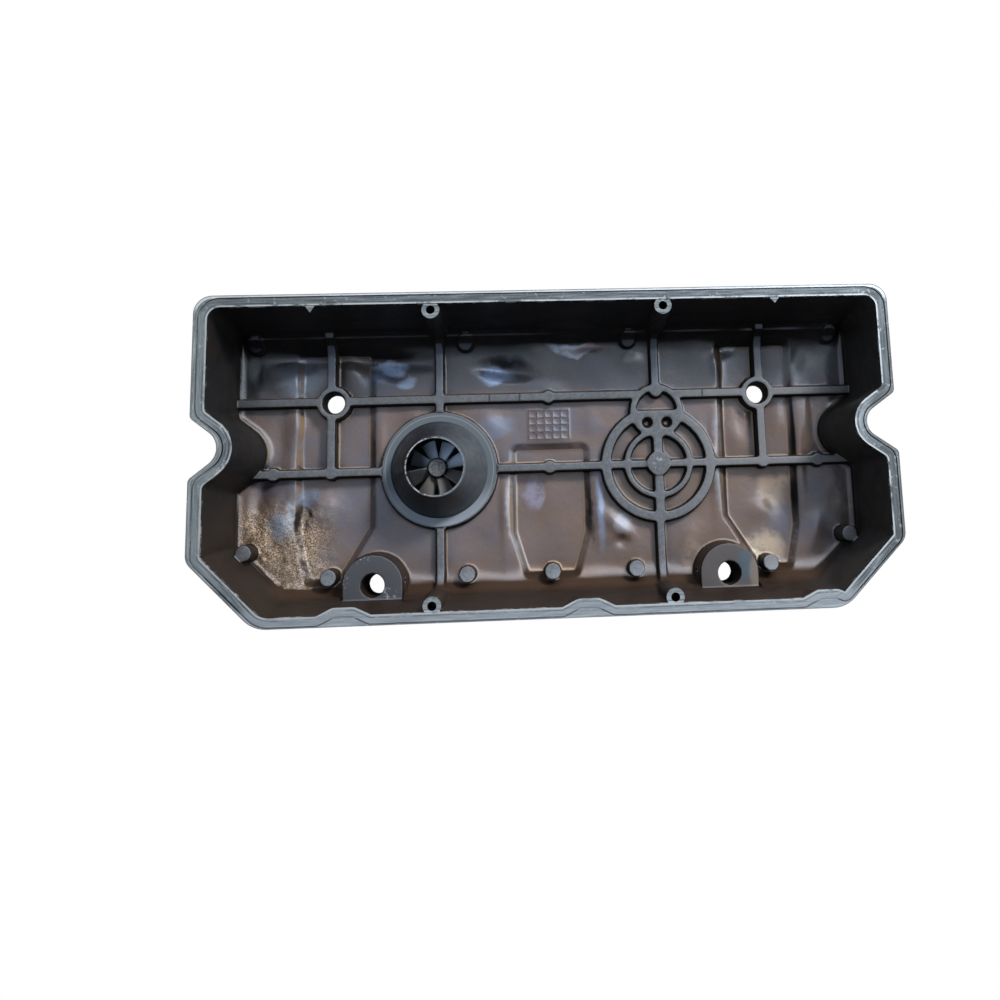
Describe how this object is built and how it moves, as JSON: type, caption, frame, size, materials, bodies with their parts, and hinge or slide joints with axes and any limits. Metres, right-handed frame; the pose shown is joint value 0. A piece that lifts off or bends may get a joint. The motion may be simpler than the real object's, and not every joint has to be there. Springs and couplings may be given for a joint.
{
  "type": "engine valve cover",
  "caption": "Oblong die-cast valve cover, open side up, with notched ends, a grooved sealing rim, inner ribs and lugs, a vaned filler throat and a turning cap.",
  "frame": {"origin": "bottom centre of the casting, in the plane of its outer seats", "axes": "+X along the engine towards the rosette end, +Y across it towards the straight long side, +Z out of the open side"},
  "size_m": [0.54, 0.25, 0.09],
  "materials": {
    "casting": "die-cast, darkened by oil and heat, satin",
    "throat": "heat-resistant moulding, satin, scuffed",
    "cap": "satin",
    "seal": "matte"
  },
  "bodies": {
    "cover": {"cover_casting": "casting", "filler_throat": "throat"},
    "cap": {"filler_cap": "cap", "cap_seal": "seal"}
  },
  "joints": [
    {"name": "cap_turn", "type": "hinge", "parent": "cover", "child": "cap", "pos_m": [-0.0907, -0.0082, 0.006], "axis": [0, 0, -1], "range_deg": [0, 60]}
  ]
}
